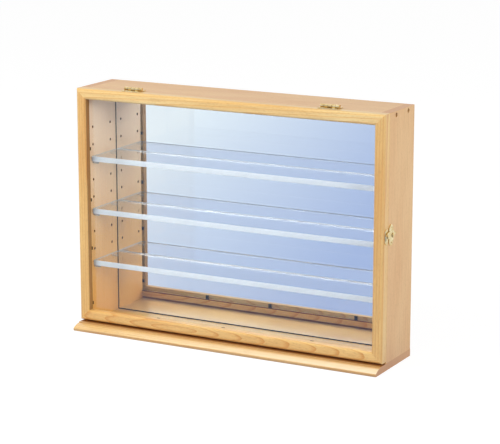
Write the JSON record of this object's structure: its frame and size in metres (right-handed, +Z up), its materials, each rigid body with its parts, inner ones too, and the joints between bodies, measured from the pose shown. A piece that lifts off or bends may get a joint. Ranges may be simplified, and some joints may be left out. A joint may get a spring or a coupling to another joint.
{
  "type": "wooden display case",
  "caption": "Shallow beech table-top display case with a mirror back, clear shelves on pegs, a moulded base and a lift-up glazed door held by a brass side catch.",
  "frame": {"origin": "middle of the underside of the base board, which the case stands on", "axes": "+X to the case's right as seen from the front, +Y to its back, +Z up"},
  "size_m": [0.3797, 0.09, 0.2803],
  "materials": {
    "beech": "clear satin lacquer",
    "backing": "plain hardboard",
    "mirror": "silvered glass",
    "pane": "clear float glass",
    "acrylic": "clear acrylic with sawn edges",
    "peg": "clear moulded plastic",
    "clip": "black enamel",
    "brass": "polished and lacquered",
    "steel": "dark oiled steel"
  },
  "bodies": {
    "case": {"base_board": "beech", "left_side": "beech", "right_side": "beech", "top_board": "beech", "back_panel": "backing", "mirror": "mirror", "shelf_lower": "acrylic", "shelf_middle": "acrylic", "shelf_upper": "acrylic", "shelf_pegs": "peg", "left_hinge_case_leaf": "brass", "left_hinge_pin": "brass", "right_hinge_case_leaf": "brass", "right_hinge_pin": "brass", "hinge_case_screws": "brass", "catch_plate": "brass", "catch_rivet": "brass", "catch_plate_screws": "brass", "carcass_screws": "steel", "base_screws": "steel"},
    "door": {"door_top_rail": "beech", "door_bottom_rail": "beech", "door_left_stile": "beech", "door_right_stile": "beech", "door_pane": "pane", "glazing_clips": "clip", "left_hinge_door_leaf": "brass", "right_hinge_door_leaf": "brass", "hinge_door_screws": "brass", "catch_keeper": "brass", "catch_stud": "brass", "keeper_screws": "brass"},
    "hook": {"catch_hook": "brass"}
  },
  "joints": [
    {"name": "door_hinge", "type": "hinge", "parent": "case", "child": "door", "pos_m": [0, -0.0188, 0.2783], "axis": [-1, 0, 0], "range_deg": [0, 190]},
    {"name": "catch_swing", "type": "hinge", "parent": "case", "child": "hook", "pos_m": [0.1899, -0.0116, 0.1465], "axis": [-1, 0, 0], "range_deg": [0, 90]}
  ]
}
